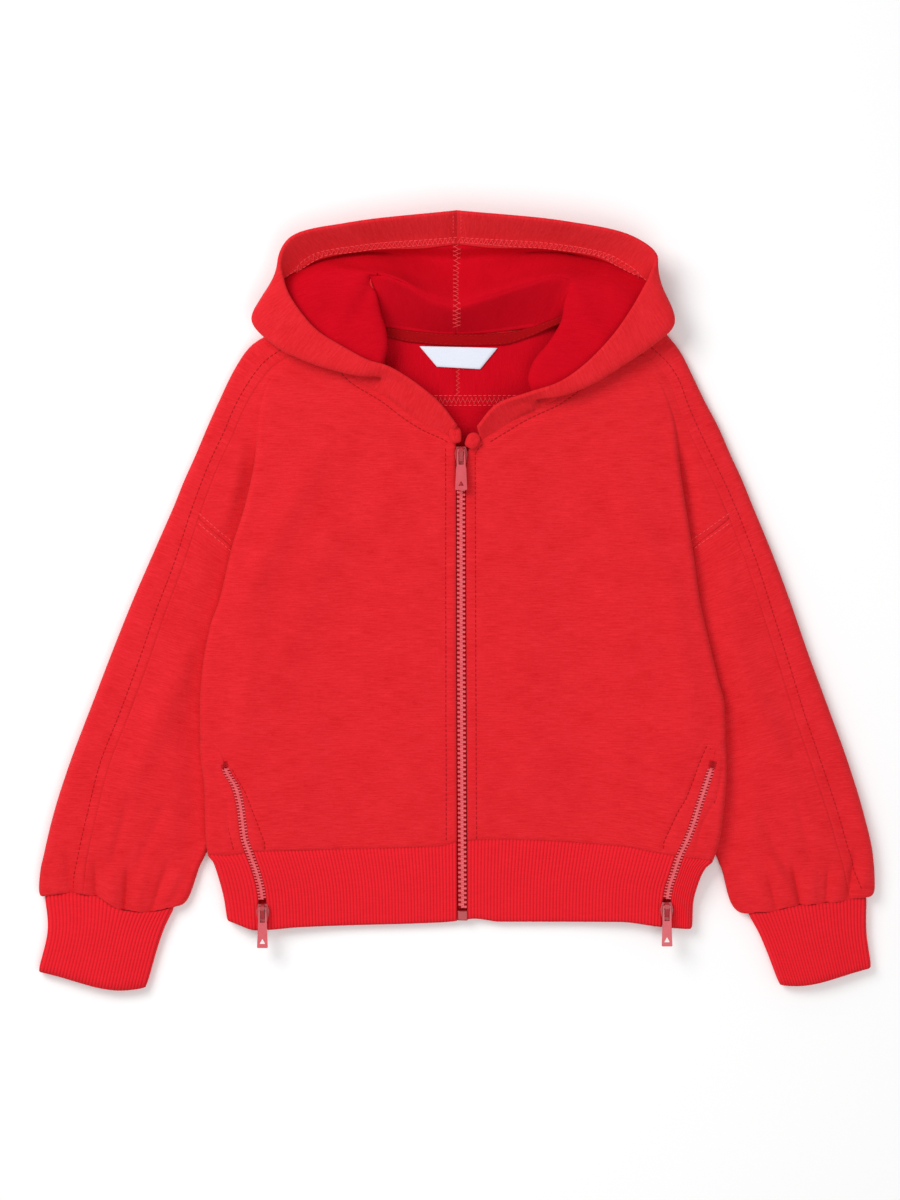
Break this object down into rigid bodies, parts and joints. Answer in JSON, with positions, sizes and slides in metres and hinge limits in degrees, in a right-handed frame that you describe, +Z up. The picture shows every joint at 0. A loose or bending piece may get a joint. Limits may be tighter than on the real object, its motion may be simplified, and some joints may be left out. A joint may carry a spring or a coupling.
{
  "type": "zip-up jacket",
  "caption": "Child's zip-through hooded sweatshirt laid flat, with front zip, slanting side zips, ribbed cuffs and ribbed hem.",
  "frame": {"origin": "centre of the garment's outline, on the surface it lies on", "axes": "+X towards the sleeve on the right of the picture, +Y towards the hood, +Z up from the surface"},
  "size_m": [0.5613, 0.5196, 0.0269],
  "materials": {
    "fleece_jersey": "matte fleece-backed jersey, red heather",
    "rib_knit": "matte two-by-one rib knit, red heather",
    "woven_tape": "woven red tape",
    "zip_plastic": "moulded red plastic, softly glossy",
    "label_satin": "plain white woven satin, bare"
  },
  "bodies": {
    "garment": {"front_panel_L": "fleece_jersey", "front_panel_R": "fleece_jersey", "back_panel": "fleece_jersey", "over_arm_L": "fleece_jersey", "over_arm_R": "fleece_jersey", "sleeve_front_L": "fleece_jersey", "sleeve_front_R": "fleece_jersey", "sleeve_back_L": "fleece_jersey", "sleeve_back_R": "fleece_jersey", "hood_L": "fleece_jersey", "hood_R": "fleece_jersey", "hood_hem_L": "fleece_jersey", "hood_hem_R": "fleece_jersey", "zip_top_L": "fleece_jersey", "zip_top_R": "fleece_jersey", "cuff_L": "rib_knit", "cuff_R": "rib_knit", "hem_rib_front_L": "rib_knit", "hem_rib_front_R": "rib_knit", "hem_rib_back": "rib_knit", "neck_tape": "woven_tape", "zip_tape_L": "woven_tape", "zip_tape_R": "woven_tape", "side_zip_tape_L": "woven_tape", "side_zip_tape_R": "woven_tape", "zip_chain": "zip_plastic", "zip_box": "zip_plastic", "zip_slider": "zip_plastic", "side_zip_chain_L": "zip_plastic", "side_zip_chain_R": "zip_plastic", "side_zip_L_slider": "zip_plastic", "side_zip_R_slider": "zip_plastic", "neck_label": "label_satin"},
    "main_pull": {"zip_pull": "zip_plastic"},
    "left_pull": {"side_zip_L_pull": "zip_plastic"},
    "right_pull": {"side_zip_R_pull": "zip_plastic"}
  },
  "joints": [
    {"name": "main_pull_hinge", "type": "hinge", "parent": "garment", "child": "main_pull", "pos_m": [0.00272, 0.1031, 0.01362], "axis": [-1, 0, 0], "range_deg": [0, 150]},
    {"name": "left_pull_hinge", "type": "hinge", "parent": "garment", "child": "left_pull", "pos_m": [-0.12989, -0.20257, 0.01428], "axis": [-1, 0, 0], "range_deg": [0, 150]},
    {"name": "right_pull_hinge", "type": "hinge", "parent": "garment", "child": "right_pull", "pos_m": [0.14012, -0.20146, 0.01452], "axis": [-1, 0, 0], "range_deg": [0, 150]}
  ]
}
